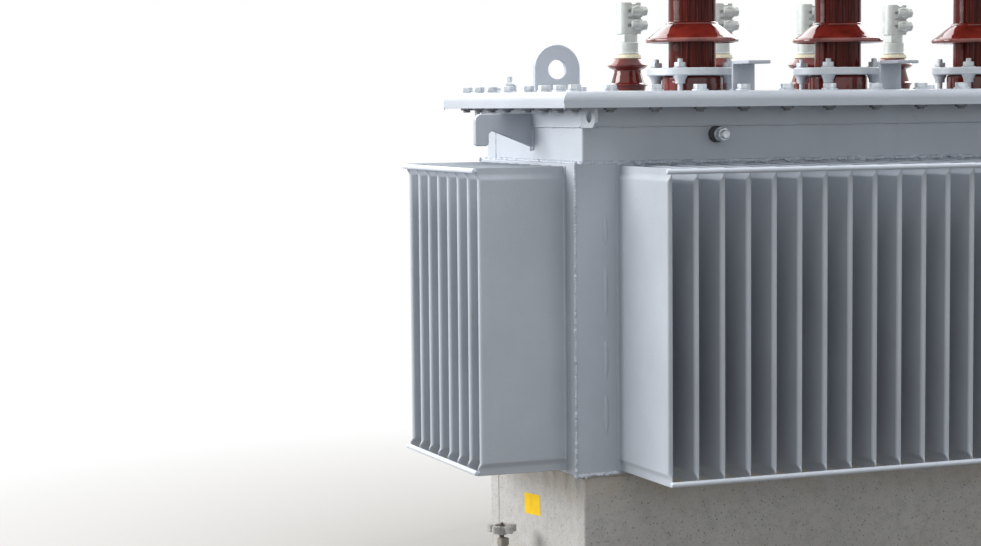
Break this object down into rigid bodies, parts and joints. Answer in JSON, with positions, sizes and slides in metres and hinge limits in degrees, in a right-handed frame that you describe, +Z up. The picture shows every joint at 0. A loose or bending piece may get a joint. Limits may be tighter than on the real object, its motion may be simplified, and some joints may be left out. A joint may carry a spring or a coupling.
{
  "type": "power transformer",
  "caption": "Oil-filled distribution transformer: tank with corrugated cooling walls, bolted lid with porcelain bushings, lifting eyes and hooks, and a drain valve with a turning handwheel.",
  "frame": {"origin": "on the ground under the middle of the tank", "axes": "+X along the long side, +Y towards the low-voltage side, +Z up"},
  "size_m": [1.511, 0.861, 1.4708],
  "materials": {
    "paint": "light blue-grey gloss paint",
    "tank_paint": "pale speckled grey paint",
    "skid": "dusty grey paint",
    "porcelain": "glossy red-brown glaze",
    "zinc": "dull zinc plating",
    "terminal_metal": "tinned, whitish",
    "valve_metal": "dirty cast metal"
  },
  "bodies": {
    "tank": {"skid_left": "skid", "skid_right": "skid", "bottom_plate": "tank_paint", "lower_tank": "tank_paint", "body_frame": "paint", "fins_front": "paint", "fins_back": "paint", "fins_left": "paint", "fins_right": "paint", "neck": "paint", "tank_flange": "paint", "lid": "paint", "lifting_eye_left": "paint", "lifting_eye_right": "paint", "lifting_hook_left": "paint", "lifting_hook_right": "paint", "lashing_lug_front_left": "paint", "lashing_lug_front_right": "paint", "lashing_lug_back_left": "paint", "lashing_lug_back_right": "paint", "lid_bracket_left": "paint", "lid_bracket_middle": "paint", "lid_bracket_right": "paint", "thermometer_pocket": "zinc", "earth_stud": "zinc", "drain_valve": "valve_metal", "drain_plug": "valve_metal", "hv_porcelain_1": "porcelain", "hv_clamp_ring_1": "zinc", "hv_terminal_1": "zinc", "hv_porcelain_2": "porcelain", "hv_clamp_ring_2": "zinc", "hv_terminal_2": "zinc", "hv_porcelain_3": "porcelain", "hv_clamp_ring_3": "zinc", "hv_terminal_3": "zinc", "lv_porcelain_1": "porcelain", "lv_terminal_1": "terminal_metal", "lv_porcelain_2": "porcelain", "lv_terminal_2": "terminal_metal", "lv_porcelain_3": "porcelain", "lv_terminal_3": "terminal_metal", "lv_porcelain_4": "porcelain", "lv_terminal_4": "terminal_metal"},
    "handwheel": {"handwheel": "valve_metal"}
  },
  "joints": [
    {"name": "drain_valve_turn", "type": "hinge", "parent": "tank", "child": "handwheel", "pos_m": [-0.6338, 0, 0.1428], "axis": [0, 0, 1], "range_deg": [0, 1620]}
  ]
}
